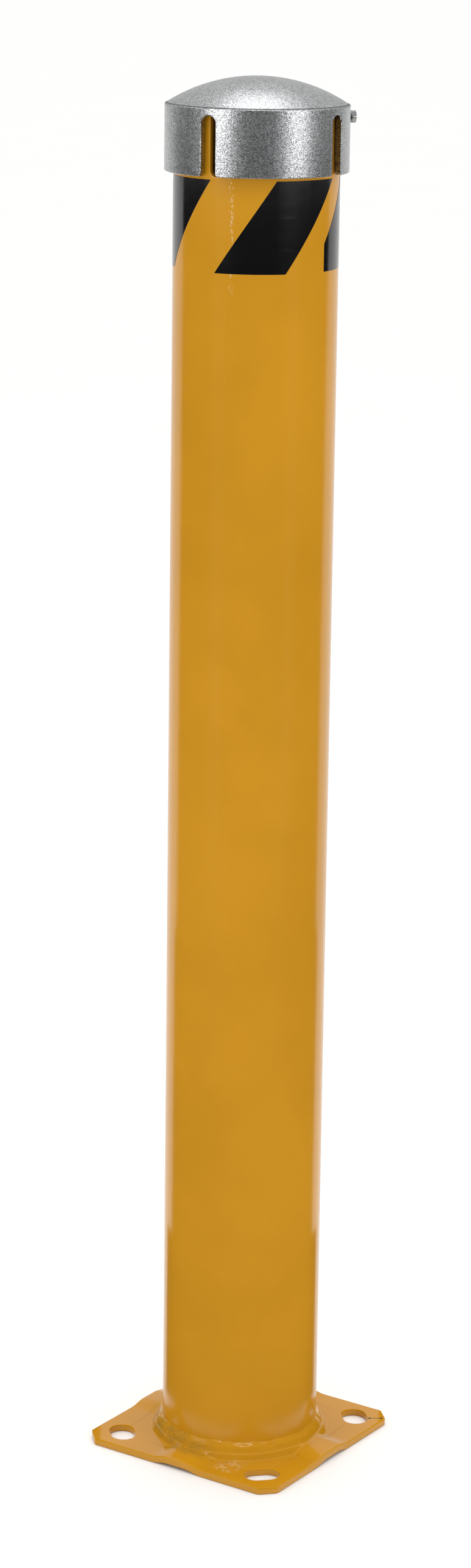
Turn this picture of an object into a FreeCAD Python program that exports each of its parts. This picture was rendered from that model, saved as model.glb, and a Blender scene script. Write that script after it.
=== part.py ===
import FreeCAD, Part
import math
import os

# Surface-mounted safety bollard in millimetres: a pressed base plate with a round post welded on it,
# slanted warning stripes, and a cast cap that one screw locks. Chain slots run through cap and post.
# Origin: centre of the base plate's underside. +Z is up the post, X and Y run along the plate's sides.
# Angles round the post are counted from -Y towards +X, counter-clockwise seen from above.

V = FreeCAD.Vector
V2 = FreeCAD.Base.Vector2d
ORIGIN = V(0, 0, 0)
X_AXIS = V(1, 0, 0)
Z_AXIS = V(0, 0, 1)

# Overall sizes
overall_height = 1219.2
post_diameter = 139.7
post_wall = 4.76
plate_side = 203.2
plate_thickness = 6.35

# Base plate: trimmed corners, four long anchor slots and a pressed crown with a rib to each side
corner_trim = 12.7
corner_radius = 4.0
anchor_inset = 25.4
anchor_slot_width = 22.2
anchor_slot_length = 31.8
crown_rise = 6.0
crown_land = 0.8
crown_slope = 3.2
rib_edge_rise = 2.6
rib_top_half_width = 9.0
rib_foot_half_width = 27.0

# Weld bead between post and crown
weld_leg_out = 6.0
weld_leg_up = 9.0
weld_crown = 0.8

# Cap
cap_wall = 5.5
cap_clearance = 2.15
cap_skirt = 56.0
cap_dome_rise = 22.2
cap_shoulder_radius = 1.5
cap_edge_radius = 0.8
cap_seat_depth = 5.2
cap_seat_width = 7.5
cap_seat_gap = 0.2

# Chain slots, the cap's over the post's
slot_count = 4
post_slot_width = 10.5
post_slot_depth = 50.8
post_slot_turn = 4.9
post_edge_radius = 0.6
cap_slot_width = 13.5
cap_slot_roof = 6.3
cap_slot_mouth_radius = 3.0
cap_slot_turn = 2.4

# Lock screw, an M6 with a hexagon head
screw_diameter = 6.0
screw_clearance = 0.05
screw_tip_gap = 0.3
screw_tip_chamfer = 0.8
screw_standoff = 2.8
screw_below_shoulder = 11.6
head_across_flats = 10.0
head_height = 4.0
head_chamfer_angle = 25.0

# Warning stripes, strips of film on the post
stripe_count = 4
stripe_height = 76.2
stripe_width = 61.0
stripe_slant = 52.4
stripe_last_gap_cut = 32.0
stripe_start = 75.1
stripe_trim = 15.9
stripe_below_cap = 2.7
film_thickness = 0.2

# Room that a cutter has past the faces it cuts, and the least height that tells two edges apart
over = 5.0
hair = 0.01

# Places worked out from the sizes above
post_radius = post_diameter / 2
bore_radius = post_radius - post_wall
crown_top = plate_thickness + crown_rise
crown_top_radius = post_radius + weld_leg_out + crown_land
crown_foot_radius = crown_top_radius + crown_slope
anchor_spacing = plate_side - 2 * anchor_inset
cap_bore_radius = post_radius + cap_clearance
cap_radius = cap_bore_radius + cap_wall
stripe_pitch = (math.pi * post_diameter + stripe_last_gap_cut) / stripe_count
dome_radius = cap_radius - cap_shoulder_radius
shoulder_z = overall_height - cap_dome_rise
cap_bottom = shoulder_z - cap_skirt
seat_z = shoulder_z - cap_seat_depth
post_top = seat_z - cap_seat_gap
screw_z = shoulder_z - screw_below_shoulder
screw_turn = cap_slot_turn + 1.5 * 360 / slot_count


def solid_of_revolution(wire_edges):
    """Turn a closed outline in the XZ plane once round the Z axis."""
    return Part.Face(Part.Wire(wire_edges)).revolve(ORIGIN, Z_AXIS, 360)


def at(radius, z):
    """A point of an outline in the XZ plane."""
    return V(radius, 0, z)


def line(start, end):
    return Part.LineSegment(start, end).toShape()


def arc(start, middle, end):
    return Part.Arc(start, middle, end).toShape()


def turned(shape, degrees):
    """A copy of the shape, turned about the post's axis."""
    copy = shape.copy()
    copy.rotate(ORIGIN, Z_AXIS, degrees)
    return copy


def quarter_round(centre, radius, start_degrees):
    """A quarter circle in the XZ plane, counter-clockwise from start_degrees."""
    angles = [math.radians(start_degrees + step) for step in (0, 45, 90)]
    points = [centre + at(radius * math.cos(a), radius * math.sin(a)) for a in angles]
    return arc(*points)


def press_form(base_z):
    """The raised shape of the pressing on a level base_z: a round crown and four ribs that fall to the sides."""
    form = Part.makeCone(crown_foot_radius, crown_top_radius, crown_rise, V(0, 0, base_z))
    edge = plate_side / 2
    fall = (crown_rise - rib_edge_rise) / (edge - crown_top_radius)
    stations = [
        (bore_radius / 2, crown_rise),
        (crown_top_radius, crown_rise),
        (edge + over, rib_edge_rise - fall * over),
    ]
    sections = []
    for distance, rise in stations:
        corners = [
            V(-rib_foot_half_width, -distance, base_z),
            V(rib_foot_half_width, -distance, base_z),
            V(rib_top_half_width, -distance, base_z + rise),
            V(-rib_top_half_width, -distance, base_z + rise),
        ]
        sections.append(Part.makePolygon(corners + corners[:1]))
    rib = Part.makeLoft(sections, True, True)
    return form.multiFuse([turned(rib, 90 * side) for side in range(4)])


def plate_outline(height):
    """A square prism with its four corners trimmed and rounded."""
    half = plate_side / 2
    short = half - corner_trim
    corners = []
    for side in range(4):
        turn = FreeCAD.Rotation(Z_AXIS, 90 * side)
        corners += [turn.multVec(V(-short, -half, 0)), turn.multVec(V(short, -half, 0))]
    prism = Part.Face(Part.makePolygon(corners + corners[:1])).extrude(V(0, 0, height))
    upright = [e for e in prism.Edges if abs(e.tangentAt(e.FirstParameter).z) > 0.5]
    return prism.makeFillet(corner_radius, upright)


def anchor_slot(height):
    """A round-ended slot along X, centred on the origin."""
    reach = (anchor_slot_length - anchor_slot_width) / 2
    half = anchor_slot_width / 2
    outline = [
        line(V(-reach, -half, 0), V(reach, -half, 0)),
        arc(V(reach, -half, 0), V(reach + half, 0, 0), V(reach, half, 0)),
        line(V(reach, half, 0), V(-reach, half, 0)),
        arc(V(-reach, half, 0), V(-reach - half, 0, 0), V(-reach, -half, 0)),
    ]
    return Part.Face(Part.Wire(outline)).extrude(V(0, 0, height))


def make_base_plate():
    """Pressed plate of even thickness, with a long slot across each corner."""
    height = crown_top + 2 * over
    half = plate_side / 2
    slab = Part.makeBox(plate_side, plate_side, plate_thickness, V(-half, -half, 0))
    plate = slab.fuse(press_form(plate_thickness)).common(plate_outline(height))
    plate = plate.cut(press_form(0))
    for corner in range(4):
        slot = anchor_slot(height)
        slot.translate(V(0, -anchor_spacing / math.sqrt(2), -over))
        plate = plate.cut(turned(slot, 45 + 90 * corner))
    return plate.removeSplitter()


def make_base_weld():
    """Fillet weld all round the post's foot, slightly full."""
    toe = at(post_radius + weld_leg_out, crown_top)
    top = at(post_radius, crown_top + weld_leg_up)
    root = at(post_radius, crown_top)
    across = (top - toe).normalize()
    outward = at(across.z, -across.x)
    middle = (toe + top) * 0.5 + outward * weld_crown
    return solid_of_revolution([line(root, toe), arc(toe, middle, top), line(top, root)])


def slot_cutter(width, low, high, mouth):
    """A cutter towards -Y for a slot from low to high with round ends; a mouth radius flares its foot."""
    half = width / 2
    if mouth:
        foot = [
            line(at(-half - mouth, low - over), at(half + mouth, low - over)),
            line(at(half + mouth, low - over), at(half + mouth, low)),
            quarter_round(at(half + mouth, low + mouth), mouth, 180),
            line(at(half, low + mouth), at(half, high - half)),
            quarter_round(at(-half - mouth, low + mouth), mouth, 270),
            line(at(-half - mouth, low), at(-half - mouth, low - over)),
            line(at(-half, high - half), at(-half, low + mouth)),
        ]
        outline = foot + [arc(at(half, high - half), at(0, high), at(-half, high - half))]
    else:
        outline = [
            arc(at(-half, low + half), at(0, low), at(half, low + half)),
            line(at(half, low + half), at(half, high + over)),
            line(at(half, high + over), at(-half, high + over)),
            line(at(-half, high + over), at(-half, low + half)),
        ]
    wire = Part.Wire(Part.__sortEdges__(outline))
    return Part.Face(wire).extrude(V(0, -cap_radius - over, 0))


def slots_all_round(cutter, first_turn):
    return [turned(cutter, first_turn + 360 / slot_count * i) for i in range(slot_count)]


def outline_edges(shape, radius, low, high):
    """Edges on the cylinder of that radius, without its seam, whose middle is at low or above and below high."""
    edges = []
    for face in shape.Faces:
        surface = face.Surface
        if surface.TypeId == "Part::GeomCylinder" and math.isclose(surface.Radius, radius):
            for edge in face.Edges:
                middle = edge.valueAt((edge.FirstParameter + edge.LastParameter) / 2)
                if low - hair < middle.z < high - hair and not edge.isSeam(face):
                    edges.append(edge)
    return edges


def make_post_tube():
    """Round tube from the crown up to the cap's seat, with chain slots open at the top."""
    length = post_top - crown_top
    tube = Part.makeCylinder(post_radius, length, V(0, 0, crown_top))
    tube = tube.cut(Part.makeCylinder(bore_radius, length + 2 * over, V(0, 0, crown_top - over)))
    slot_foot = post_top - post_slot_depth
    cutter = slot_cutter(post_slot_width, slot_foot, post_top, 0)
    tube = tube.cut(slots_all_round(cutter, post_slot_turn))
    return tube.makeFillet(post_edge_radius, outline_edges(tube, post_radius, slot_foot, post_top))


def make_cap():
    """Cast cap: domed top, straight skirt over the post, an inner seat ring, chain slots and a screw hole."""
    sphere_radius = (dome_radius**2 + cap_dome_rise**2) / (2 * cap_dome_rise)
    sphere_z = overall_height - sphere_radius
    inner_sphere = sphere_radius - cap_wall
    ring_radius = cap_bore_radius - cap_seat_width
    ring_top = sphere_z + math.sqrt(inner_sphere**2 - ring_radius**2)

    def on_sphere(radius, reach):
        return at(reach, sphere_z + math.sqrt(radius**2 - reach**2))

    apex = at(0, overall_height)
    rim = at(dome_radius, shoulder_z)
    shoulder = at(dome_radius, shoulder_z - cap_shoulder_radius)
    inner_apex = at(0, sphere_z + inner_sphere)
    outline = [
        arc(apex, on_sphere(sphere_radius, dome_radius / 2), rim),
        quarter_round(shoulder, cap_shoulder_radius, 0),
        line(at(cap_radius, shoulder.z), at(cap_radius, cap_bottom)),
        line(at(cap_radius, cap_bottom), at(cap_bore_radius, cap_bottom)),
        line(at(cap_bore_radius, cap_bottom), at(cap_bore_radius, seat_z)),
        line(at(cap_bore_radius, seat_z), at(ring_radius, seat_z)),
        line(at(ring_radius, seat_z), at(ring_radius, ring_top)),
        arc(at(ring_radius, ring_top), on_sphere(inner_sphere, ring_radius / 2), inner_apex),
        line(inner_apex, apex),
    ]
    cap = solid_of_revolution(Part.__sortEdges__(outline))
    slot_top = shoulder_z - cap_slot_roof
    cutter = slot_cutter(cap_slot_width, cap_bottom, slot_top, cap_slot_mouth_radius)
    hole = Part.makeCylinder(screw_diameter / 2 + screw_clearance, cap_radius, V(0, 0, screw_z), V(0, -1, 0))
    cap = cap.cut(slots_all_round(cutter, cap_slot_turn) + [turned(hole, screw_turn)])
    return cap.makeFillet(cap_edge_radius, outline_edges(cap, cap_radius, cap_bottom, shoulder.z))


def make_cap_screw():
    """Hexagon-head screw on a radius of the post, its tip close to the post's wall."""
    tip = post_radius + screw_tip_gap
    under_head = cap_radius + screw_standoff
    length = under_head - tip
    radius = screw_diameter / 2
    corner = head_across_flats / math.sqrt(3)
    shank = Part.makeCylinder(radius, length - screw_tip_chamfer, V(0, 0, screw_tip_chamfer - length))
    nose = Part.makeCone(radius - screw_tip_chamfer, radius, screw_tip_chamfer, V(0, 0, -length))
    angles = [math.radians(30 + 60 * i) for i in range(6)]
    points = [V(corner * math.cos(a), corner * math.sin(a), 0) for a in angles]
    head = Part.Face(Part.makePolygon(points + points[:1])).extrude(V(0, 0, head_height))
    drop = (corner - head_across_flats / 2) * math.tan(math.radians(head_chamfer_angle))
    cone_reach = head_height / math.tan(math.radians(head_chamfer_angle))
    dressing = Part.makeCone(corner + cone_reach, corner, head_height - drop)
    bevel = Part.makeCone(corner, head_across_flats / 2, drop, V(0, 0, head_height - drop))
    head = head.common(dressing.fuse(bevel))
    screw = head.fuse([shank, nose]).removeSplitter()
    screw.rotate(ORIGIN, X_AXIS, 90)
    screw.translate(V(0, -under_head, screw_z))
    return turned(screw, screw_turn)


def make_stripe(trim):
    """A slanted strip of film wrapped on the post, its lower left corner cut upright at trim."""
    surface = Part.Cylinder()
    surface.Radius = post_radius
    low = cap_bottom - stripe_below_cap - stripe_height
    lean = stripe_slant / stripe_height
    corners = [(trim, 0), (stripe_width, 0)]
    corners += [(stripe_width + stripe_slant, stripe_height), (stripe_slant, stripe_height)]
    if trim:
        corners.append((trim, trim / lean))
    on_post = [V2(along / post_radius, low + up) for along, up in corners]
    edges = []
    for start, end in zip(on_post, on_post[1:] + on_post[:1]):
        edges.append(Part.Geom2d.Line2dSegment(start, end).toShape(surface))
    film = Part.Face(surface, Part.Wire(edges))
    film.validate()
    return turned(film.makeOffsetShape(film_thickness, 1e-4, fill=True), -90)


def main():
    parts = {
        "base_plate": make_base_plate(),
        "base_weld": make_base_weld(),
        "post_tube": make_post_tube(),
        "cap": make_cap(),
        "cap_screw": make_cap_screw(),
    }
    for i in range(stripe_count):
        turn = stripe_start + math.degrees(stripe_pitch * i / post_radius)
        stripe = make_stripe(stripe_trim if i == 0 else 0)
        parts[f"hazard_stripe_{i + 1}"] = turned(stripe, turn)
    os.makedirs("parts", exist_ok=True)
    for node, shape in parts.items():
        if not shape.isValid() or len(shape.Solids) != 1:
            raise ValueError(f"{node} is not one valid solid")
        shape.Solids[0].exportStep(f"parts/{node}.step")
        box = shape.BoundBox
        print(node, [round(v, 2) for v in (box.XMin, box.XMax, box.YMin, box.YMax, box.ZMin, box.ZMax)])


main()
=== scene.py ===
import math

import bmesh
import bpy
import numpy as np
from mathutils import Matrix, Vector


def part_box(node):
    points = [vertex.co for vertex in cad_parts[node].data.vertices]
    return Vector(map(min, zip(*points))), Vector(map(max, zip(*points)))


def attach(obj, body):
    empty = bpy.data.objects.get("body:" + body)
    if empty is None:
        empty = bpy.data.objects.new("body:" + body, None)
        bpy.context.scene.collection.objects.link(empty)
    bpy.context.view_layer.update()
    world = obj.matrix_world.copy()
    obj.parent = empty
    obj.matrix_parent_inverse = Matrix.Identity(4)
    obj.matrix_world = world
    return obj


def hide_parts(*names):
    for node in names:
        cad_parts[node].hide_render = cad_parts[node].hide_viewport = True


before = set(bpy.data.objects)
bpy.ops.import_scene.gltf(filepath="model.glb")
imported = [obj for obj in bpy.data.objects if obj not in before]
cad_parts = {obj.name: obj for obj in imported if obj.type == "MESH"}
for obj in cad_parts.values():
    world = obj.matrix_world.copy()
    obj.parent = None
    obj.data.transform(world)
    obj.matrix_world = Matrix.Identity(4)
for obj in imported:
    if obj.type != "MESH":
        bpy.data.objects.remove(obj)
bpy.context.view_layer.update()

bl_info = {
    "name": "Safety bollard",
    "version": (1, 0, 0),
    "blender": (4, 5, 0),
    "location": "3D View > Sidebar > Bollard",
    "description": "Builds the painted post, pressed plate, weld, stripes and lock screw of a safety bollard",
    "category": "Object",
}

MM = 0.001
QUARTERS = 4
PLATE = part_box("base_plate")
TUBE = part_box("post_tube")
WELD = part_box("base_weld")
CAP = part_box("cap")
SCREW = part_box("cap_screw")
STRIPES = [f"hazard_stripe_{i + 1}" for i in range(4)]
SUBTYPES = {"LENGTH": "DISTANCE", "ROTATION": "ANGLE", "NONE": "NONE"}
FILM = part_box(STRIPES[0])
POST_RADIUS = TUBE[1].x


def shown(name, text, default, unit="LENGTH"):
    """A number that a user can change, with Blender's unit for it."""
    return bpy.props.FloatProperty(
        name=name, description=text, default=default, precision=4, unit=unit, subtype=SUBTYPES[unit]
    )


def angle(name, text, degrees):
    """An angle that a user can change. Turns round the post are counted from -Y towards +X."""
    return shown(name, text, math.radians(degrees), "ROTATION")


def paint(name, text, default):
    """A linear colour that a user can change."""
    return bpy.props.FloatVectorProperty(
        name=name, description=text, default=default, size=3, min=0, max=1, subtype="COLOR"
    )


class BollardSizes(bpy.types.PropertyGroup):
    """Sizes of the detailed pieces. The overall sizes come from the frame."""

    post_wall: shown("Post wall", "Wall thickness of the post", 4.76 * MM)
    post_slot_width: shown("Post slot width", "Width of the chain slots in the post", 10.5 * MM)
    post_slot_depth: shown("Post slot depth", "Depth of the post's chain slots from its top", 50.8 * MM)
    post_slot_turn: angle("Post slot turn", "Turn of the first post slot", 4.9)
    post_rounding: shown("Post edge rounding", "Radius on the outer edge of the rim and slots", 0.6 * MM)
    plate_thickness: shown("Plate thickness", "Thickness of the pressed plate", 6.35 * MM)
    plate_trim: shown("Corner trim", "Length cut from each side at the plate's corners", 12.7 * MM)
    plate_corner: shown("Corner radius", "Radius at both ends of each trimmed corner", 4 * MM)
    plate_rounding: shown("Plate edge rounding", "Radius left by blasting and paint on the edges", 0.7 * MM)
    slot_spacing: shown("Anchor slot spacing", "Distance between anchor slots, both ways", 152.4 * MM)
    slot_width: shown("Anchor slot width", "Width of an anchor slot", 22.2 * MM)
    slot_length: shown("Anchor slot length", "Length of an anchor slot from end to end", 31.8 * MM)
    crown_rise: shown("Crown rise", "Height that the round crown is pressed up", 6 * MM)
    crown_foot: shown("Crown foot radius", "Radius where the crown's slope meets the pads", 79.85 * MM)
    crown_slope: shown("Crown slope width", "Width of the slope round the crown", 3.2 * MM)
    dome_rise: shown("Dome rise", "Height of the cap's dome over its shoulder", 22.2 * MM)
    rib_edge_rise: shown("Rib rise at the edge", "Height of each rib at the plate's side", 2.6 * MM)
    rib_top: shown("Rib top half width", "Half the width of a rib's flat top", 9 * MM)
    rib_foot: shown("Rib foot half width", "Half the width of a rib at its foot", 27 * MM)
    weld_bulge: shown("Weld bulge", "Height of the bead over a straight fillet", 0.75 * MM)
    weld_root: shown("Weld root", "How far the bead's root reaches into post and crown", 0.35 * MM)
    stripe_slant: shown("Stripe slant", "Sideways run of a stripe from its foot to its top", 52.4 * MM)
    stripe_width: shown("Stripe width", "Width of a stripe round the post", 61 * MM)
    stripe_trim: shown("Stripe trim", "Width cut upright from the first stripe's lower corner", 15.9 * MM)
    stripe_start: angle("Stripe start", "Turn of the first stripe's lower corner", 75.1)
    stripe_gap_cut: shown("Last gap cut", "How much narrower the gap after the last stripe is", 32 * MM)
    film_thickness: shown("Film thickness", "Thickness of a stripe", 0.2 * MM)
    screw_turn: angle("Screw turn", "Turn of the lock screw", 137.4)
    screw_diameter: shown("Screw diameter", "Outer diameter of the lock screw's thread", 6 * MM)
    screw_pitch: shown("Screw pitch", "Travel of the lock screw in one turn", 1 * MM)
    head_flats: shown("Head across flats", "Width of the screw's hexagon across its flats", 10 * MM)
    head_height: shown("Head height", "Height of the screw's hexagon", 4 * MM)


class BollardFinishes(bpy.types.PropertyGroup):
    """Colours of the finishes, where marks lie on the paint, and where the camera stands."""

    coat: paint("Powder coat", "Colour of the yellow powder coat", (0.53, 0.243, 0.0085))
    # Olive colour of grime and dark specks. It is also used darkened for painted shade along the weld's foot,
    # in its pores and along its crack
    coat_grime_and_shade: paint("Weld dirt", "Colour of the grime caught along the weld", (0.16, 0.12, 0.03))
    film: paint("Film", "Colour of the black warning film", (0.0042, 0.0041, 0.0043))
    casting: paint("Casting", "Colour of the blasted cap", (0.40, 0.408, 0.412))
    zinc: paint("Zinc", "Colour of the plated screw", (0.27, 0.30, 0.34))
    floor: paint("Floor", "Colour of the pale floor", (0.90, 0.90, 0.89))
    seam_turn: angle("Seam turn", "Turn of the tube's seam", 17.085)
    # Turn where the weld's grime and painted shade are heaviest
    grimy_shaded_turn: angle("Dirt turn", "Turn of the dirtiest stretch of weld", -29.115)
    camera_turn: angle("Camera turn", "Direction of the camera", 33.885)
    camera_distance: shown("Camera distance", "Level distance of the camera from the post's axis", 3.0951)
    camera_height: shown("Camera height", "Height of the camera above the floor", 1.4112)
    camera_pitch: angle("Camera pitch", "How far the camera looks down", 14.501)
    camera_yaw: angle("Camera yaw", "How far the camera looks to the left of the axis", 0.204)
    camera_roll: angle("Camera roll", "How far the camera is tipped", 0.752)
    camera_lens: shown("Focal length", "Focal length in millimetres on a 36 mm frame", 84.07, "NONE")


# Surfaces


def grid(rows, columns, wrap_rows=False, wrap_columns=False):
    """Quads of a grid of points stored row by row. Wrapped, its last row or column meets its first."""
    row, column = np.meshgrid(
        np.arange(rows if wrap_rows else rows - 1),
        np.arange(columns if wrap_columns else columns - 1),
        indexing="ij",
    )
    next_row = (row + 1) % rows
    next_column = (column + 1) % columns
    corners = [(row, column), (row, next_column), (next_row, next_column), (next_row, column)]
    return np.stack([r * columns + c for r, c in corners], -1).reshape(-1, 4)


def patch(points, wrap_rows=False, wrap_columns=False):
    """A patch is a block of points, rows by columns by three, with the quads of its grid."""
    points = np.asarray(points, float)
    return points.reshape(-1, 3), grid(*points.shape[:2], wrap_rows, wrap_columns)


def build(name, patches, finish, sharp=35):
    """One closed mesh from patches that share edges: doubles are merged, then every face looks outwards."""
    counts = np.cumsum([0] + [len(points) for points, _ in patches])
    points = np.concatenate([points for points, _ in patches])
    quads = np.concatenate([quads + start for (_, quads), start in zip(patches, counts)])
    mesh = bpy.data.meshes.new(name)
    mesh.from_pydata(points.tolist(), [], quads.tolist())
    work = bmesh.new()
    work.from_mesh(mesh)
    bmesh.ops.remove_doubles(work, verts=work.verts, dist=1e-6)
    bmesh.ops.recalc_face_normals(work, faces=work.faces)
    if work.calc_volume(signed=True) < 0:
        bmesh.ops.reverse_faces(work, faces=work.faces)
    open_edges = sum(len(edge.link_faces) != 2 for edge in work.edges)
    if open_edges:
        raise ValueError(f"{name} has {open_edges} open edges")
    work.to_mesh(mesh)
    work.free()
    mesh.polygons.foreach_set("use_smooth", np.ones(len(mesh.polygons), bool))
    mesh.set_sharp_from_angle(angle=math.radians(sharp))
    mesh.materials.append(finish)
    piece = bpy.data.objects.new(name, mesh)
    bpy.context.scene.collection.objects.link(piece)
    return piece


def round_post(radius, turn, z):
    """Points at a radius and a turn round the Z axis, counted from -Y towards +X."""
    radius, turn, z = np.broadcast_arrays(radius, turn, z)
    return np.stack([radius * np.sin(turn), -radius * np.cos(turn), z], -1)


def smooth(value):
    """Eases from 0 to 1 as value does: three times its square less twice its cube."""
    value = np.clip(value, 0, 1)
    return value * value * (3 - 2 * value)


def waves(turn, counts, draw):
    """Sum of cosines that close round the circle, each with a drawn phase and a drawn share of the height."""
    phases = draw.uniform(0, math.tau, len(counts))
    shares = draw.uniform(0.5, 1, len(counts))
    terms = shares * np.cos(np.multiply.outer(turn, counts) + phases)
    return terms.sum(-1) / np.sqrt((shares**2).sum())


def slotted_edge(half_width, depth, corner):
    """One slot's share of a slotted edge. From the slot's round end, points run up each side, round the
    corner and out along the land. Each has its distance across the slot, its depth below the rim, its share
    of the way to the land's middle, and the direction into the metal."""
    end = np.linspace(0, math.pi / 2, 10, endpoint=False)
    side = np.linspace(depth - half_width, corner, 16, endpoint=False)
    turn = np.linspace(0, math.pi / 2, 4, endpoint=False)
    land = np.linspace(0, 1, 19)
    flat, upright = np.zeros(len(land)), np.ones(len(side))
    across = np.concatenate([
        half_width * np.sin(end), half_width * upright,
        half_width + corner * (1 - np.cos(turn)), half_width + corner + flat,
    ])
    deep = np.concatenate([
        depth - half_width + half_width * np.cos(end), side, corner * (1 - np.sin(turn)), flat,
    ])
    share = np.concatenate([0 * end, 0 * side, 0 * turn, land])
    into_across = np.concatenate([np.sin(end), upright, np.cos(turn), flat])
    into_deep = np.concatenate([np.cos(end), 0 * side, np.sin(turn), flat + 1])
    half = np.stack([across, deep, share, into_across, into_deep])
    mirrored = half[:, -2:0:-1] * np.array([[-1], [1], [1], [-1], [1]])
    side_of = np.concatenate([-np.ones(mirrored.shape[1]), np.ones(half.shape[1])])
    return np.concatenate([mirrored, half], 1), side_of


def post_tube(sizes, finish):
    """Tube with open-topped slots. One closed grid: columns follow the slotted edge round the post, and rows
    go up the outside, over the rounded edge, through the wall and down the bore. Below the slots the columns
    are spread evenly; between there and the edge each one is a straight run on the unrolled cylinder."""
    outer, top, foot = POST_RADIUS, TUBE[1].z, TUBE[0].z
    inner = outer - sizes.post_wall
    edge, side_of = slotted_edge(sizes.post_slot_width / 2, sizes.post_slot_depth, 2 * sizes.post_rounding)
    across, deep, share, into_across, into_deep = edge
    count = len(across)
    even = (np.arange(1, count + 1) / count - 0.5) * math.tau / QUARTERS
    fan_depth = 14 * MM
    below = sizes.post_slot_depth + fan_depth

    def edge_ring(radius, inset):
        reach = np.abs(across + inset * into_across)
        turn = side_of * (np.arcsin(reach / radius) * (1 - share) + share * math.pi / QUARTERS)
        return turn, deep + inset * into_deep

    def wall_rows(radius, rounding):
        """Rows down a wall, from the rounded edge to the foot."""
        turn, depth = edge_ring(radius, rounding)
        mix = np.linspace(0, 1, 14)[:, None]
        fan = (turn * (1 - mix) + even * mix, depth * (1 - mix) + below * mix)
        drop = np.linspace(below, top - foot, 40)[1:, None]
        turns = np.concatenate([fan[0], np.broadcast_to(even, (len(drop), count))])
        return turns, np.concatenate([fan[1], np.broadcast_to(drop, (len(drop), count))]), radius + 0 * turns

    def round_rows(radius, rounding, sign):
        """Rows over a rounded edge, from its wall to the cut face."""
        rows = []
        for bend in np.linspace(0, math.pi / 2, 5)[1:]:
            turn, depth = edge_ring(radius, rounding * (1 - math.sin(bend)))
            rows.append((turn, depth, turn * 0 + radius - sign * rounding * (1 - math.cos(bend))))
        return tuple(np.array(part) for part in zip(*rows))

    burr = sizes.post_rounding / 2
    outside = wall_rows(outer, sizes.post_rounding)
    outer_round = round_rows(outer, sizes.post_rounding, 1)
    inner_round = round_rows(inner, burr, -1)
    inside = wall_rows(inner, burr)
    blocks = [
        [part[::-1] for part in outside], outer_round, [part[::-1] for part in inner_round], inside,
    ]
    turns, depths, radii = (np.concatenate([block[i] for block in blocks]) for i in range(3))
    quarters = [round_post(radii, turns + sizes.post_slot_turn + k * math.tau / QUARTERS, top - depths)
                for k in range(QUARTERS)]
    return build("painted_post_tube", [patch(np.concatenate(quarters, 1), True, True)], finish)


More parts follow.
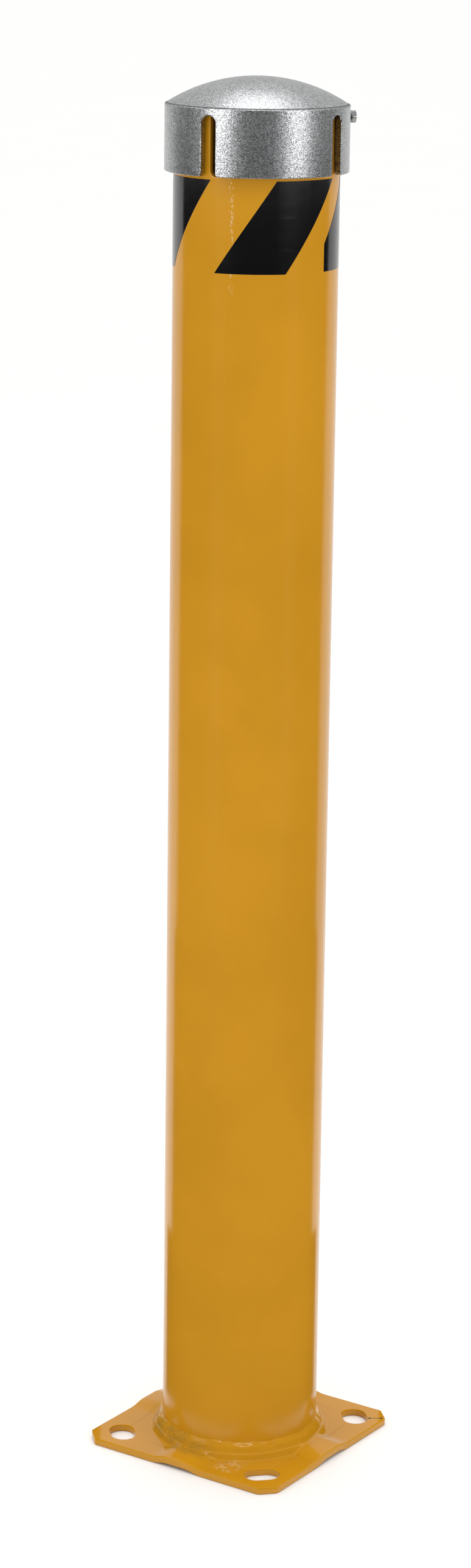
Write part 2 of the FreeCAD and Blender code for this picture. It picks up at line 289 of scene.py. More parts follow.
class PressedPlate:
    """The pressed base plate. Its height over a level sheet joins a round crown and four ribs by
    1 - (1 - crown) * (1 - rib), so it stays smooth where they meet. A small fold runs out beside each rib:
    the distance from its line times the bell curve of that distance. Nothing sinks below the floor."""

    around = 64
    slot_rows = 20

    def __init__(self, sizes):
        self.sizes = sizes
        self.half = PLATE[1].x
        self.rounding = sizes.plate_rounding
        self.ring = sizes.crown_foot + 3 * MM

    def rise(self, x, y):
        """Height of the pressing at a place in plan."""
        sizes = self.sizes
        reach = np.hypot(x, y)
        slope = sizes.crown_slope + 0.6 * MM
        crown = smooth((sizes.crown_foot + 0.3 * MM - reach) / slope)
        along = np.maximum(np.abs(x), np.abs(y))
        aside = np.minimum(np.abs(x), np.abs(y))
        start = sizes.crown_foot - sizes.crown_slope
        fall = np.clip((along - start) / (self.half - start), 0, 1)
        top = 1 + (sizes.rib_edge_rise / sizes.crown_rise - 1) * fall
        rib = top * smooth((sizes.rib_foot - aside) / (sizes.rib_foot - sizes.rib_top))
        fold = (aside - sizes.rib_foot + 1.5 * MM) / (2.4 * MM)
        begun = smooth((reach - start) / (3 * MM))
        faded = smooth((sizes.crown_foot + 17 * MM - reach) / (16 * MM))
        crease = -0.8 * MM * fold * np.exp(-(fold**2)) * (begun * faded)
        return np.maximum(sizes.crown_rise * (1 - (1 - crown) * (1 - rib)) + crease, 0)

    def outline(self):
        """A quarter of the outline from +X to +Y: for each point, the middle of its corner round and the
        direction out. A side is a row of such middles, so an inset only shortens the reach."""
        radius = self.sizes.plate_corner
        short = self.half - self.sizes.plate_trim
        near = short - radius * math.tan(math.pi / 8)
        core = self.half - radius
        side = np.linspace(0, near, 24, endpoint=False)
        bend = np.linspace(0, math.pi / 4, 5)
        trim = np.linspace(0, 1, 10)[1:-1]
        first = np.stack([np.full(24, core), side], -1)
        lower = np.broadcast_to([core, near], (5, 2))
        cut = np.outer(1 - trim, [core, near]) + np.outer(trim, [near, core])
        middles = np.concatenate([first, lower, cut, lower[:, ::-1], first[::-1, ::-1]])
        angles = np.concatenate([
            np.zeros(24), bend, np.full(len(trim), math.pi / 4), bend + math.pi / 4, np.full(24, math.pi / 2),
        ])
        return middles, np.stack([np.cos(angles), np.sin(angles)], -1), radius

    def slot_outline(self, towards):
        """Points of the anchor slot's outline met on the way from its centre to each place in towards: for
        each, its middle on the slot's centre line and the direction out of the slot."""
        sizes = self.sizes
        radius = sizes.slot_width / 2 + self.rounding
        reach = (sizes.slot_length - sizes.slot_width) / 2
        centre = np.full(2, sizes.slot_spacing / 2)
        long_way = np.array([-1, 1]) / math.sqrt(2)
        short_way = np.array([1, 1]) / math.sqrt(2)
        ray = towards - centre
        ray /= np.linalg.norm(ray, axis=1)[:, None]
        along, across = ray @ long_way, ray @ short_way
        to_side = radius / np.maximum(np.abs(across), 1e-9)
        to_end = np.abs(along) * reach + np.sqrt((along * reach) ** 2 - reach**2 + radius**2)
        met = np.where(np.abs(to_side * along) <= reach, to_side, to_end)
        shift = np.clip(met * along, -reach, reach)
        middles = centre + shift[:, None] * long_way
        out = centre + met[:, None] * ray - middles
        return middles, out / np.linalg.norm(out, axis=1)[:, None], sizes.slot_width / 2

    def faces(self, plan):
        """The top and the underside over the same places in plan."""
        rise = self.rise(plan[..., 0], plan[..., 1])
        return [patch(np.concatenate([plan, (rise + base)[..., None]], -1))
                for base in (0, self.sizes.plate_thickness)]

    def cut_edge(self, middles, out, radius, sign):
        """A cut edge from the top face to the underside, rounded at both. sign is 1 where the metal lies
        inside the outline and -1 where it lies outside."""
        steps = np.linspace(0, math.pi / 2, 4)
        inset = self.rounding * (1 - np.sin(steps))
        drop = self.rounding * (1 - np.cos(steps))
        insets = np.concatenate([inset, inset[::-1]])
        thickness = self.sizes.plate_thickness
        heights = np.concatenate([thickness - drop, drop[::-1]])
        plan = middles + (radius - sign * insets)[:, None, None] * out
        rise = self.rise(plan[..., 0], plan[..., 1])
        return patch(np.concatenate([plan, (rise + heights[:, None])[..., None]], -1))

    def quarter(self):
        """Patches of the quarter between +X and +Y."""
        middles, out, radius = self.outline()
        rim = middles + (radius - self.rounding) * out
        sweep = np.linspace(0, math.pi / 2, self.around + 1)
        arc = self.ring * np.stack([np.cos(sweep), np.sin(sweep)], -1)
        mix = np.linspace(0, 1, 9)[:, None]
        first = arc[0] * (1 - mix) + rim[0] * mix
        last = rim[-1] * (1 - mix) + arc[-1] * mix
        boundary = np.concatenate([first, rim[1:-1], last, arc[-2::-1]])
        slot_middles, slot_out, slot_radius = self.slot_outline(boundary)
        slot_edge = slot_middles + (slot_radius + self.rounding) * slot_out
        share = np.linspace(0, 1, self.slot_rows)[:, None, None]
        pad = slot_edge * (1 - share) + boundary * share
        radii = np.concatenate([
            np.linspace(0, 64 * MM, 6), np.linspace(68, 74, 4) * MM, np.linspace(74.4 * MM, self.ring, 20),
        ])
        disc = radii[:, None, None] * (arc / self.ring)
        return [
            *self.faces(pad), *self.faces(disc),
            self.cut_edge(middles, out, radius, 1),
            self.cut_edge(slot_middles, slot_out, slot_radius, -1),
        ]

    def piece(self, finish):
        patches = []
        for k in range(QUARTERS):
            turn = np.array(Matrix.Rotation(k * math.tau / QUARTERS, 3, "Z"))
            patches += [(points @ turn.T, quads) for points, quads in self.quarter()]
        return build("pressed_base_plate", patches, finish, 50)


def weld_bead(sizes, finish):
    """Fillet bead under thick paint: a section carried round the post. Its two toes wander. The section
    bulges by the squared sine of the way across, with lumps that follow the run and fine ripples. Paint
    pools here and there at its upper toe, as a bell curve both ways. Its root is closed inside post and
    crown."""
    draw = np.random.default_rng(5)
    count = 900
    turn = np.linspace(0, math.tau, count, endpoint=False)
    across = np.linspace(0, 1, 19)[:, None]
    floor, top = WELD[0].z, WELD[1].z
    toe_out = WELD[1].x - POST_RADIUS
    upper = top - floor + MM * (0.55 * waves(turn, [2, 5, 9, 14, 23, 37], draw) - 1.0)
    lower = toe_out + MM * (0.5 * waves(turn, [3, 8, 13, 21, 34], draw) - 0.4)
    lumps = 0.34 * waves(turn, [5, 8, 13, 21], draw)
    drift = 4.5 * waves(turn, [5, 11, 19, 31], draw)
    ripples = 0.035 * np.cos(50 * turn + 2.6 * (2 * across - 1) ** 2 + drift)
    bulge = np.sin(math.pi * across) ** 2 * (sizes.weld_bulge + MM * (lumps + ripples))
    middles = np.radians((16, 56, 140, 230, 318))[:, None]
    pools = 1.1 * np.exp(-(((turn - middles) / 0.07) ** 2)).sum(0)
    bulge = bulge + MM * pools * np.exp(-(((across - 0.2) / 0.13) ** 2))
    length = np.hypot(upper, lower)
    out = lower * across + bulge * upper / length
    up = upper * (1 - across) + bulge * lower / length
    root = np.full((1, count), -sizes.weld_root)
    radius = np.concatenate([root, out, lower + root, root])
    height = np.concatenate([upper[None], up, root, root])
    points = round_post(POST_RADIUS + radius, turn, floor + height)
    return build("fillet_weld_bead", [patch(points, True, True)], finish, 60)


def warning_film(index, sizes, finish):
    """A slanted strip of film on the post: a parallelogram on the unrolled cylinder with a thin rounded edge.
    Its rows run up the strip and its columns across it. The outermost of each lie at a quarter of the
    thickness, and hems join them to a back just under the paint."""
    low, tall = FILM[0].z, FILM[1].z - FILM[0].z
    slant = sizes.stripe_slant / tall
    trim = sizes.stripe_trim if index == 0 else 0
    edge = np.array([0, 0.15 * MM])
    margin, inset, sunk = 0.6 * MM, 0.5 * MM, 0.05 * MM
    up = np.concatenate([edge, np.linspace(margin, tall - margin, 42), tall - edge[::-1]])
    left = np.maximum(slant * up, trim)[:, None]
    right = (sizes.stripe_width + slant * up)[:, None]
    share = np.linspace(0, 1, 52)[None, :]
    inside = left + inset + (right - left - 2 * inset) * share
    along = np.concatenate([left, left + edge[1], inside, right - edge[1], right], 1)
    rim = np.ones(along.shape, bool)
    rim[1:-1, 1:-1] = False
    face = POST_RADIUS + np.where(rim, 0.25, 1) * sizes.film_thickness
    pitch = (math.tau * POST_RADIUS + sizes.stripe_gap_cut) / len(STRIPES)
    turn = sizes.stripe_start + (along + pitch * index) / POST_RADIUS
    height = low + up[:, None] + 0 * along
    outer = round_post(face, turn, height)
    back = round_post(POST_RADIUS - sunk, turn, height)
    loops = [outer[0], outer[-1], outer[:, 0], outer[:, -1]]
    backs = [back[0], back[-1], back[:, 0], back[:, -1]]
    hems = [patch(np.stack(pair)) for pair in zip(loops, backs)]
    return build(f"warning_film_{index + 1}", [patch(outer), patch(back), *hems], finish, 30)


def lock_screw(sizes, finish):
    """Hexagon-head screw on its own axis, then laid on the cap's radius. The head's outline reaches half the
    flats over the cosine of the turn from the nearest flat; its height falls away past the flats as a cone.
    The thread's radius follows a rounded wave of turn and travel, which fades at both ends."""
    outward = Vector((math.sin(sizes.screw_turn), -math.cos(sizes.screw_turn), 0))
    tip, head_top = screw_reach(outward)
    under_head = head_top - sizes.head_height
    length = under_head - tip
    flats, height = sizes.head_flats / 2, sizes.head_height
    radius, pitch = sizes.screw_diameter / 2, sizes.screw_pitch
    rounding, chamfer, washer = 0.25 * MM, 0.8 * MM, 0.35 * MM
    top = 0.96 * flats
    turn = np.linspace(0, math.tau, 96, endpoint=False)
    sector = math.tau / 6
    from_flat = (turn + sector / 2) % sector - sector / 2
    hexagon = flats / np.cos(from_flat)
    soft = hexagon - 0.35 * MM * smooth((np.abs(from_flat) / (sector / 2) - 0.8) / 0.2)
    slope = math.tan(math.radians(25))

    def top_height(reach):
        return height - slope * np.maximum(reach - 0.93 * flats, 0)

    rows = []
    for share in (0, 0.4, 0.8, 0.92, 0.96, 1.0):
        reach = share * top + 0 * turn
        rows.append((reach, top_height(reach)))
    for share in np.linspace(0, 1, 8)[1:]:
        reach = top + (soft - rounding - top) * share
        rows.append((reach, top_height(reach)))
    for bend in np.linspace(0, math.pi / 2, 4)[1:]:
        reach = soft - rounding * (1 - math.sin(bend))
        rows.append((reach, top_height(soft - rounding) - rounding * (1 - math.cos(bend))))
    for low in (0.9 * MM, washer):
        rows.append((soft, low + 0 * turn))
    rows.append((0 * turn + 0.97 * flats, washer + 0 * turn))
    rows.append((0 * turn + 0.95 * flats, 0 * turn))
    rows.append((0 * turn + radius, 0 * turn))
    for share in np.linspace(0, 1, 111)[1:]:
        down = -share * (length - chamfer)
        fade = smooth(share / 0.08) * smooth((1 - share) / 0.04)
        phase = math.tau * down / pitch - turn
        crest = 0.5 + 0.5 * np.cos(phase)
        groove = 0.55 * MM * (1 - crest**0.8) * fade
        rows.append((radius - groove, down + 0 * turn))
    rows.append((0 * turn + radius - chamfer, -length + 0 * turn))
    rows.append((0 * turn, -length + 0 * turn))
    reach, heights = (np.array(part) for part in zip(*rows))
    local = np.stack([reach * np.cos(turn), reach * np.sin(turn), heights], -1)
    aside = Vector((0, 0, 1)).cross(outward)
    place = Matrix((Vector((0, 0, 1)), aside, outward)).transposed()
    points = local @ np.array(place).T + np.array(outward) * under_head
    points[..., 2] += (SCREW[0].z + SCREW[1].z) / 2
    return build("lock_screw", [patch(points, False, True)], finish, 28)


def screw_reach(outward):
    """Distances from the post's axis to the screw's tip and to the top of its head, in the frame."""
    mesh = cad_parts["cap_screw"].data
    reach = np.array([vertex.co for vertex in mesh.vertices]) @ np.array(outward)
    return reach.min(), reach.max()


# Finishes

# Marks on the plate's paint, from its centre
RUN_PLACE = (43 * MM, -80 * MM)
SCRATCH_PLACE = (94.3 * MM, 83.7 * MM)
SCRATCH_TURN = math.radians(35.7)

# Lesser colours
BLACK_MARK = (0.012, 0.012, 0.014)
# Painted highlight colour for the paint sags below the cap
PAINTED_HIGHLIGHT_ON_BEADS = (0.85, 0.62, 0.3)
# Painted highlight colour for the wrinkles of the paint run on one pad
PAINTED_HIGHLIGHT_ON_RUN = (0.8, 0.55, 0.3)
DUST = (0.10, 0.10, 0.09)
STRAW = (0.34, 0.33, 0.29)
CARD_WEAVE = (0.004, 0.004, 0.004), (0.012, 0.012, 0.012)


class Wire:
    """One output of a finish's nodes. Arithmetic on it adds Math nodes."""

    def __init__(self, recipe, socket):
        self.recipe = recipe
        self.socket = socket

    def math(self, operation, *values):
        return self.recipe.node("ShaderNodeMath", {"operation": operation}, dict(enumerate(values)))

    def __abs__(self):
        return self.math("ABSOLUTE", self)

    def __add__(self, other):
        return self.math("ADD", self, other)

    def __sub__(self, other):
        return self.math("SUBTRACT", self, other)

    def __rsub__(self, other):
        return self.math("SUBTRACT", other, self)

    def __mul__(self, other):
        return self.math("MULTIPLY", self, other)

    def __truediv__(self, other):
        return self.math("DIVIDE", self, other)

    def __pow__(self, other):
        return self.math("POWER", self, other)

    __radd__ = __add__
    __rmul__ = __mul__

    def step(self, start, end):
        """Eases from 0 at start to 1 at end."""
        settings = {"interpolation_type": "SMOOTHSTEP"}
        return self.recipe.node(
            "ShaderNodeMapRange", settings, {"Value": self, "From Min": start, "From Max": end}
        )


class Recipe:
    """The nodes of one material or world."""

    def __init__(self, owner):
        owner.use_nodes = True
        self.owner = owner
        self.tree = owner.node_tree
        self.tree.nodes.clear()

    def node(self, kind, settings=None, values=None, output=0):
        """Adds a node, makes its settings, then sets or links its sockets, and returns one of its outputs."""
        made = self.tree.nodes.new(kind)
        for key, value in (settings or {}).items():
            setattr(made, key, value)
        for key, value in (values or {}).items():
            if isinstance(value, Wire):
                self.tree.links.new(value.socket, made.inputs[key])
            else:
                made.inputs[key].default_value = value
        return Wire(self, made.outputs[output]) if made.outputs else None

    def place(self):
        return self.node("ShaderNodeTexCoord", output="Object")

    def axes(self, vector):
        split = self.node("ShaderNodeSeparateXYZ", values={0: vector})
        return [Wire(self, socket) for socket in split.socket.node.outputs]

    def stretched(self, vector, scale):
        return self.node("ShaderNodeVectorMath", {"operation": "MULTIPLY"}, {0: vector, 1: scale})

    def noise(self, vector, size, detail=2.0, roughness=0.5):
        """Soft noise whose features are about size metres across."""
        values = {"Vector": vector, "Scale": 1 / size, "Detail": detail, "Roughness": roughness}
        return self.node("ShaderNodeTexNoise", values=values)

    def cells(self, vector, size, output="Distance"):
        """Distance to the nearest of scattered points about size metres apart, or its drawn colour."""
        return self.node("ShaderNodeTexVoronoi", values={"Vector": vector, "Scale": 1 / size}, output=output)

    def dots(self, vector, size, radius, share):
        """Round spots of a radius, one in each cell of a share of the cells."""
        near = 1 - self.cells(vector, size).step(radius / size * 0.5, radius / size)
        drawn = self.axes(self.cells(vector, size, "Color"))[0]
        return near * (1 - drawn.step(share - 0.01, share + 0.01))

    def mix(self, share, first, second):
        """A colour between two others."""
        first, second = (c if isinstance(c, Wire) else (*c, 1) for c in (first, second))
        return self.node("ShaderNodeMix", {"data_type": "RGBA"}, {0: share, 6: first, 7: second}, 2)

    def bump(self, height, distance):
        """A normal bent by a height, of which 1 stands for a distance in metres."""
        return self.node("ShaderNodeBump", values={"Height": height, "Distance": distance})

    def surface(self, values):
        shader = self.node("ShaderNodeBsdfPrincipled", values=values)
        self.node("ShaderNodeOutputMaterial", values={"Surface": shader})
        return self.owner


def tinted(colour, factor):
    return tuple(min(c * factor, 1) for c in colour)


class SpotOnPlate:
    """Distances along and across a mark that lies on the plate at a place and a turn."""

    def __init__(self, x, y, place, turn):
        right, back = x - place[0], y - place[1]
        self.along = right * math.cos(turn) + back * math.sin(turn)
        self.across = back * math.cos(turn) - right * math.sin(turn)

    def distance(self):
        return (self.along * self.along + self.across * self.across) ** 0.5


def coat_layers(recipe, place, finishes):
    """Colour, roughness and height that all the powder coat shares."""
    drift = recipe.noise(place, 0.11, 3)
    peel = recipe.noise(place, 2.2 * MM, 1.5)
    long_wave = recipe.noise(place, 11 * MM, 1)
    specks = recipe.dots(place, 13 * MM, 0.42 * MM, 0.2)
    colour = recipe.mix(drift.step(0.3, 0.7), tinted(finishes.coat, 0.95), tinted(finishes.coat, 1.04))
    mottle = recipe.noise(place, 3.5 * MM, 3)
    colour = recipe.mix(mottle.step(0.55, 0.8) * 0.2, colour, tinted(finishes.coat, 0.88))
    colour = recipe.mix(specks * 0.8, colour, tinted(finishes.coat_grime_and_shade, 0.45))
    rough = 0.16 + drift * 0.06 + specks * 0.25
    return colour, rough, peel * 0.5 + long_wave * 1.2 - specks * 0.6


def powder_coat(finishes):
    """Glossy yellow powder coat on the post: orange peel, slow drifts of tone and a few dark specks. The
    tube's own seam shows as a faint upright ridge, with glossy sags of paint below the cap that carry a
    painted highlight."""
    recipe = Recipe(bpy.data.materials.new("yellow_powder_coat"))
    place = recipe.place()
    colour, rough, height = coat_layers(recipe, place, finishes)
    x, y, z = recipe.axes(place)
    seam = finishes.seam_turn
    beside = abs(x * math.cos(seam) + y * math.sin(seam))
    front = (x * math.sin(seam) - y * math.cos(seam)).step(0, 10 * MM)
    ridge = (1 - beside.step(0.2 * MM, 2.2 * MM)) * front
    broken = recipe.noise(recipe.stretched(place, (1, 1, 0.08)), 9 * MM, 2).step(0.4, 0.65)
    below_cap = z.step(FILM[0].z - 30 * MM, FILM[0].z + 10 * MM)
    sags = 1 - recipe.cells(recipe.stretched(place, (1, 1, 0.6)), 3.2 * MM).step(0.1, 0.6)
    beads = sags * (1 - beside.step(1.0 * MM, 2.8 * MM)) * front * below_cap
    # Painted highlight: the sags are lightened towards a warm highlight colour
    colour = recipe.mix(beads * 0.3, colour, PAINTED_HIGHLIGHT_ON_BEADS)
    height = height + ridge * broken * 1.4 + beads * 12.0
    rough = rough * (1 - beads.step(0, 0.4) * 0.6)
    return recipe.surface({
        "Base Color": colour, "Roughness": rough, "Normal": recipe.bump(height, 0.05 * MM), "IOR": 1.42,
    })


def powder_coat_at_weld(finishes):
    """The same coat over plate and weld: thicker and wetter, with grime and painted shade along the weld's
    foot, pores and a crack along the bead darkened as painted shade, a wrinkled run of paint on one pad with
    painted highlights on its wrinkles, and a black scratch from one anchor slot to its corner."""
    recipe = Recipe(bpy.data.materials.new("yellow_powder_coat_at_weld"))
    place = recipe.place()
    colour, rough, height = coat_layers(recipe, place, finishes)
    x, y, z = recipe.axes(place)
    level = (z - (WELD[0].z + 2 * MM)) / (8 * MM)
    reach = (x * x + y * y) ** 0.5
    band = (1 - abs(level)).step(0, 0.6) * (1 - reach.step(84 * MM, 92 * MM))
    turn = finishes.grimy_shaded_turn
    # The side of the weld with the heaviest grime and painted shade, where the bead is also crumpled
    grimy_shaded_side = (x * math.sin(turn) - y * math.cos(turn)).step(45 * MM, 72 * MM)
    patches = recipe.noise(place, 13 * MM, 4, 0.65)
    fine = recipe.noise(place, 1.4 * MM, 3).step(0.38, 0.62)
    caught = patches.step(0.4, 0.6) * fine
    # Grime and painted shade: olive darkening in a band where the weld meets the plate, in patches all round
    # and heavier on one side
    grime_and_shade = band * (patches.step(0.6, 0.75) * fine * 0.3 + grimy_shaded_side * (0.12 + caught * 0.4))
    shaded_pores = recipe.dots(place, 3.4 * MM, 0.6 * MM, 0.5) * band * grimy_shaded_side
    wander = recipe.noise(place, 9 * MM, 4, 0.6)
    from_crack = abs(z - (WELD[0].z + 3 * MM) - wander * 13 * MM)
    shaded_crack = (1 - from_crack.step(0.2 * MM, 0.9 * MM)) * grimy_shaded_side * band
    crumple = recipe.cells(place, 4.5 * MM) * grimy_shaded_side * band
    # Mixes in the grime and painted shade along the weld's foot
    colour = recipe.mix(grime_and_shade, colour, finishes.coat_grime_and_shade)
    # Painted shade in the pores: dark dots where the bead is pitted
    colour = recipe.mix(shaded_pores * 0.85, colour, tinted(finishes.coat_grime_and_shade, 0.35))
    # Painted shade along the crack: its groove is darkened in colour
    colour = recipe.mix(shaded_crack * 0.7, colour, tinted(finishes.coat_grime_and_shade, 0.4))
    run = SpotOnPlate(x, y, RUN_PLACE, 0)
    in_run = 1 - run.distance().step(8 * MM, 15 * MM)
    lines = recipe.noise(recipe.stretched(place, (1.3, 0.8, 1)), 10 * MM, 2.5)
    wrinkle = (1 - abs((lines - 0.5) * 14)).step(0, 1) * in_run
    # Painted highlight: the wrinkles of the run are lightened
    colour = recipe.mix(wrinkle * 0.3, colour, PAINTED_HIGHLIGHT_ON_RUN)
    scratch = SpotOnPlate(x, y, SCRATCH_PLACE, SCRATCH_TURN)
    along = abs(scratch.along)
    width = 0.55 * MM + along.step(3.4 * MM, 5.4 * MM) * 1.1 * MM
    cut = (1 - (abs(scratch.across) / width).step(0.6, 1.2)) * (1 - along.step(6.2 * MM, 6.9 * MM))
    cut = cut * recipe.noise(place, 1.1 * MM, 2).step(0.2, 0.4)
    colour = recipe.mix(cut * 0.95, colour, BLACK_MARK)
    rough = rough * 0.7 + grime_and_shade * 0.3 + cut * 0.3
    height = height + wrinkle * 9.0 - cut * 3.0 - shaded_pores * 4.0 - shaded_crack * 9.0 + crumple * 9.0
    return recipe.surface({
        "Base Color": colour, "Roughness": rough, "Normal": recipe.bump(height, 0.05 * MM), "IOR": 1.45,
    })


def warning_gloss(finishes):
    """Smooth black film: faint waves, dust and fine rubs."""
    recipe = Recipe(bpy.data.materials.new("black_warning_film"))
    place = recipe.place()
    waves_in_film = recipe.noise(place, 16 * MM, 2)
    dust = recipe.dots(place, 6 * MM, 0.16 * MM, 0.25)
    rubs = recipe.noise(recipe.stretched(place, (1, 1, 9)), 30 * MM, 5, 0.7).step(0.52, 0.8)
    colour = recipe.mix(dust * 0.5, finishes.film, DUST)
    rough = 0.14 + rubs * 0.1 + dust * 0.3
    return recipe.surface({
        "Base Color": colour, "Roughness": rough, "Normal": recipe.bump(waves_in_film, 0.06 * MM),
        "Coat Weight": 0.1, "Coat Roughness": 0.08,
    })


def blasted_casting(sizes, finishes):
    """Blasted aluminium casting: bright and dull grains, fine grit and scattered pits darkened as painted
    shade, with painted shade as a dark line in the crease where the dome meets the shoulder."""
    recipe = Recipe(bpy.data.materials.new("blasted_aluminium"))
    place = recipe.place()
    grain = recipe.cells(place, 1.0 * MM)
    tone = recipe.axes(recipe.cells(place, 0.8 * MM, "Color"))[0]
    grit = recipe.noise(place, 0.6 * MM, 2, 0.6)
    cloud = recipe.noise(place, 22 * MM, 3)
    shaded_pits = recipe.dots(place, 7 * MM, 0.5 * MM, 0.3)
    colour = recipe.mix(tone, tinted(finishes.casting, 0.5), tinted(finishes.casting, 1.55))
    colour = recipe.mix(cloud.step(0.4, 0.75) * 0.3, colour, tinted(finishes.casting, 0.75))
    # Painted shade in the pits: small dark spots where the casting is pitted
    colour = recipe.mix(shaded_pits * 0.7, colour, tinted(finishes.casting, 0.3))
    x, y, z = recipe.axes(place)
    outside = ((x * x + y * y) ** 0.5).step(CAP[1].x - 4 * MM, CAP[1].x - 2.5 * MM)
    from_shoulder = abs(z - (CAP[1].z - sizes.dome_rise))
    line = (1 - from_shoulder.step(0.15 * MM, 0.6 * MM)) * outside
    # Painted shade: a dark line in the crease where the dome meets the shoulder
    colour = recipe.mix(line * 0.75, colour, tinted(finishes.casting, 0.15))
    rough = 0.22 + grit * 0.12 + shaded_pits * 0.2 + line * 0.3
    height = grain * 0.5 + grit * 0.6 - shaded_pits * 1.5 - line * 2.0
    return recipe.surface({
        "Base Color": colour, "Metallic": 1.0, "Roughness": rough,
        "Normal": recipe.bump(height, 0.15 * MM),
    })


def bright_zinc(finishes):
    """Bright zinc plate: bluish silver with a faint straw tint, fine drag marks and a few dull spots."""
    recipe = Recipe(bpy.data.materials.new("bright_zinc"))
    place = recipe.place()
    tint = recipe.noise(place, 3 * MM, 2)
    drag = recipe.noise(recipe.stretched(place, (1, 1, 6)), 0.5 * MM, 3)
    dull = recipe.noise(place, 1.4 * MM, 4).step(0.58, 0.75)
    colour = recipe.mix(tint.step(0.35, 0.65), finishes.zinc, STRAW)
    colour = recipe.mix(dull * 0.4, colour, tinted(finishes.zinc, 0.5))
    rough = 0.22 + dull * 0.25 + drag * 0.1
    return recipe.surface({
        "Base Color": colour, "Metallic": 1.0, "Roughness": rough, "Normal": recipe.bump(drag, 0.02 * MM),
    })


def studio_floor_finish(finishes):
    """Pale smooth floor with a faint cloud."""
    recipe = Recipe(bpy.data.materials.new("pale_floor"))
    place = recipe.place()
    cloud = recipe.noise(place, 0.6, 4)
    colour = recipe.mix(cloud, tinted(finishes.floor, 0.985), finishes.floor)
    return recipe.surface({"Base Color": colour, "Roughness": 0.7 + cloud * 0.1})


# Pieces


def add_piece(piece, body, node):
    """A new piece moves with a body and stands for a node of the frame."""
    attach(piece, body)
    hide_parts(node)


class MakePost(bpy.types.Operator):
    """Make the round post with its four chain slots"""

    bl_idname = "bollard.make_post"
    bl_label = "Make the post"

    def execute(self, context):
        scene = context.scene
        tube = post_tube(scene.bollard_sizes, powder_coat(scene.bollard_finishes))
        add_piece(tube, "post", "post_tube")
        return {"FINISHED"}


class MakeBase(bpy.types.Operator):
    """Make the pressed plate and the weld on it"""

    bl_idname = "bollard.make_base"
    bl_label = "Make the base"

    def execute(self, context):
        scene = context.scene
        finish = powder_coat_at_weld(scene.bollard_finishes)
        plate = PressedPlate(scene.bollard_sizes).piece(finish)
        add_piece(plate, "post", "base_plate")
        add_piece(weld_bead(scene.bollard_sizes, finish), "post", "base_weld")
        return {"FINISHED"}


class MakeStripes(bpy.types.Operator):
    """Make the four slanted strips of warning film"""

    bl_idname = "bollard.make_stripes"
    bl_label = "Make the stripes"

    def execute(self, context):
        scene = context.scene
        finish = warning_gloss(scene.bollard_finishes)
        for index, node in enumerate(STRIPES):
            add_piece(warning_film(index, scene.bollard_sizes, finish), "post", node)
        return {"FINISHED"}


class FinishCap(bpy.types.Operator):
    """Give the cast cap its blasted finish"""

    bl_idname = "bollard.finish_cap"
    bl_label = "Finish the cap"

    def execute(self, context):
        scene = context.scene
        finish = blasted_casting(scene.bollard_sizes, scene.bollard_finishes)
        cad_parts["cap"].material_slots[0].material = finish
        return {"FINISHED"}


class MakeScrew(bpy.types.Operator):
    """Make the hexagon-head lock screw"""

    bl_idname = "bollard.make_screw"
    bl_label = "Make the lock screw"

    def execute(self, context):
        scene = context.scene
        screw = lock_screw(scene.bollard_sizes, bright_zinc(scene.bollard_finishes))
        add_piece(screw, "cap_screw", "cap_screw")
        return {"FINISHED"}


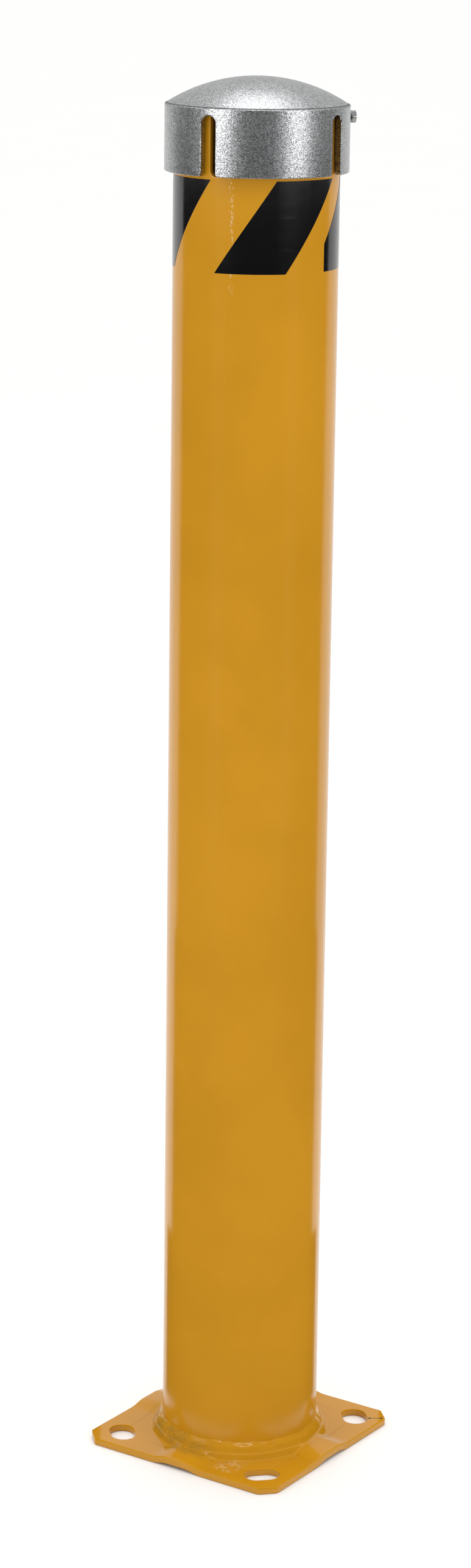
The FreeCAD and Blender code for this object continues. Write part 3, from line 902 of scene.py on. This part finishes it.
class SetStage(bpy.types.Operator):
    """Set the floor, the studio lights and the camera"""

    bl_idname = "bollard.set_stage"
    bl_label = "Set the stage"

    # Turn from the camera, level distance, height, height aimed at, size, radiance, and seen in reflections
    softboxes = {
        "left_softbox": (-50, 2.2, 0.6, 0.6, (0.62, 1.9), 2.45, False),
        "right_softbox": (54, 2.2, 0.6, 0.6, (0.62, 1.9), 2.45, False),
        "front_softbox": (0, 1.1, 3.0, 0, (1.0, 0.3), 7.0, True),
        "overhead_softbox": (180, 0.75, CAP[1].z + 2.0, CAP[1].z, (1.0, 1.0), 2.9, True),
    }
    # Radius round the post, turns from the camera, heights and radiance
    cards = {
        "foot_card": (0.147, (-118, 118), (0, 0.165), 0),
        "middle_card": (0.4, (-118, 118), (0, 0.38), 0),
        "lower_card": (1.3, (-118, 118), (0, 1.03), 0),
        "upper_card": (1.3, (-31, 31), (1.03, 1.7), 0.4),
        "left_panel": (1.3, (-57, -36), (1.12, 1.8), 7.0),
        "right_panel": (1.3, (40, 59), (1.12, 1.8), 7.0),
        "left_card": (1.3, (-130, -74), (1.03, 1.7), 0.5),
        "right_card": (1.3, (78, 130), (1.03, 1.7), 0.55),
    }

    def execute(self, context):
        scene = context.scene
        finishes = scene.bollard_finishes
        scene.view_settings.view_transform = "Standard"
        self.floor(finishes)
        self.world(scene, finishes)
        for name, values in self.softboxes.items():
            self.softbox(scene, finishes, name, *values)
        for name, values in self.cards.items():
            self.card(finishes, name, *values)
        self.camera(scene, finishes)
        return {"FINISHED"}

    def sheet(self, name, points, finish, wrap=False):
        """A sheet of a grid of points."""
        mesh = bpy.data.meshes.new(name)
        flat, quads = patch(points, False, wrap)
        mesh.from_pydata(flat.tolist(), [], quads.tolist())
        mesh.materials.append(finish)
        piece = bpy.data.objects.new(name, mesh)
        bpy.context.scene.collection.objects.link(piece)
        return piece

    def floor(self, finishes):
        """A flat disc: rings of points widen by an even factor from the middle."""
        reach = np.concatenate([[0], np.geomspace(0.2, 60, 24)])
        turn = np.linspace(0, math.tau, 96, endpoint=False)
        points = round_post(reach[:, None], turn, -0.2 * MM)
        self.sheet("studio_floor", points, studio_floor_finish(finishes), wrap=True)

    def card(self, finishes, name, radius, turns, heights, radiance):
        """A card seen only in reflections: an upright sheet carried round the post at an even distance. Its
        glow isn't sampled as a lamp, so a card in front of it hides it."""
        turn = finishes.camera_turn + np.radians(np.linspace(*turns, 49))
        recipe = Recipe(bpy.data.materials.new(name))
        weave = recipe.noise(recipe.place(), 4 * MM, 3)
        colour = recipe.mix(weave, *CARD_WEAVE)
        finish = recipe.surface({
            "Base Color": colour, "Roughness": 0.9, "Specular IOR Level": 0.0,
            "Emission Color": (1, 1, 1, 1), "Emission Strength": radiance,
        })
        finish.cycles.emission_sampling = "NONE"
        piece = self.sheet(name, round_post(radius, turn, np.array(heights)[:, None]), finish)
        piece.visible_camera = piece.visible_diffuse = piece.visible_shadow = False

    def world(self, scene, finishes):
        """White to the camera. As light it is brightest overhead, though little so in reflections, and a
        little dimmer on the camera's side, by the level share of each direction towards the camera."""
        world = bpy.data.worlds.new("studio")
        scene.world = world
        recipe = Recipe(world)
        direction = recipe.node("ShaderNodeTexCoord", output="Generated")
        towards = (math.sin(finishes.camera_turn), -math.cos(finishes.camera_turn), 0)
        facing = recipe.node(
            "ShaderNodeVectorMath", {"operation": "DOT_PRODUCT"}, {0: direction, 1: towards}, 1
        )
        height = recipe.axes(direction)[2]
        mirrored = recipe.node("ShaderNodeLightPath", output="Is Glossy Ray")
        light = 0.86 - facing.step(-0.4, 0.2) * 0.2 + height.step(0.15, 1.0) * (1.1 - mirrored * 0.85)
        straight = recipe.node("ShaderNodeLightPath", output="Is Camera Ray")
        strength = light * (1 - straight) + straight * 0.96
        shade = recipe.node("ShaderNodeBackground", values={"Strength": strength})
        recipe.node("ShaderNodeOutputWorld", values={"Surface": shade})

    def softbox(self, scene, finishes, name, away, reach, height, aim, size, radiance, mirrored):
        """A rectangle of light of a radiance, turned to a height on the post's axis. Not mirrored, it lights
        the paint but shows in no reflection."""
        light = bpy.data.lights.new(name, "AREA")
        light.shape = "RECTANGLE"
        light.size, light.size_y = size
        light.energy = radiance * math.pi * size[0] * size[1]
        turn = finishes.camera_turn + math.radians(away)
        place = Vector((reach * math.sin(turn), -reach * math.cos(turn), height))
        lamp = bpy.data.objects.new(name, light)
        lamp.location = place
        lamp.rotation_euler = (place - Vector((0, 0, aim))).to_track_quat("Z", "Y").to_euler()
        lamp.visible_camera = False
        lamp.visible_glossy = mirrored
        scene.collection.objects.link(lamp)

    def camera(self, scene, finishes):
        view = bpy.data.cameras.new("camera")
        view.lens = finishes.camera_lens
        view.sensor_width = 36
        view.clip_start, view.clip_end = 0.05, 200
        camera = bpy.data.objects.new("camera", view)
        turn = finishes.camera_turn
        camera.matrix_world = (
            Matrix.Translation((
                finishes.camera_distance * math.sin(turn),
                -finishes.camera_distance * math.cos(turn),
                finishes.camera_height,
            ))
            @ Matrix.Rotation(turn + finishes.camera_yaw, 4, "Z")
            @ Matrix.Rotation(math.pi / 2 - finishes.camera_pitch, 4, "X")
            @ Matrix.Rotation(finishes.camera_roll, 4, "Z")
        )
        scene.collection.objects.link(camera)
        scene.camera = camera


STEPS = (MakePost, MakeBase, MakeStripes, FinishCap, MakeScrew, SetStage)


class BollardPanel(bpy.types.Panel):
    """The bollard's steps, in order"""

    bl_idname = "VIEW3D_PT_bollard"
    bl_label = "Safety bollard"
    bl_space_type = "VIEW_3D"
    bl_region_type = "UI"
    bl_category = "Bollard"

    def draw(self, context):
        for step in STEPS:
            self.layout.operator(step.bl_idname)
        for group in (context.scene.bollard_sizes, context.scene.bollard_finishes):
            column = self.layout.column(align=True)
            for key in group.__annotations__:
                column.prop(group, key)


CLASSES = (BollardSizes, BollardFinishes, *STEPS, BollardPanel)


def register():
    for each in CLASSES:
        bpy.utils.register_class(each)
    bpy.types.Scene.bollard_sizes = bpy.props.PointerProperty(type=BollardSizes)
    bpy.types.Scene.bollard_finishes = bpy.props.PointerProperty(type=BollardFinishes)


def unregister():
    del bpy.types.Scene.bollard_finishes
    del bpy.types.Scene.bollard_sizes
    for each in reversed(CLASSES):
        bpy.utils.unregister_class(each)


def main():
    register()
    bpy.ops.bollard.make_post()
    bpy.ops.bollard.make_base()
    bpy.ops.bollard.make_stripes()
    bpy.ops.bollard.finish_cap()
    bpy.ops.bollard.make_screw()
    bpy.ops.bollard.set_stage()


if __name__ == "__main__":
    main()
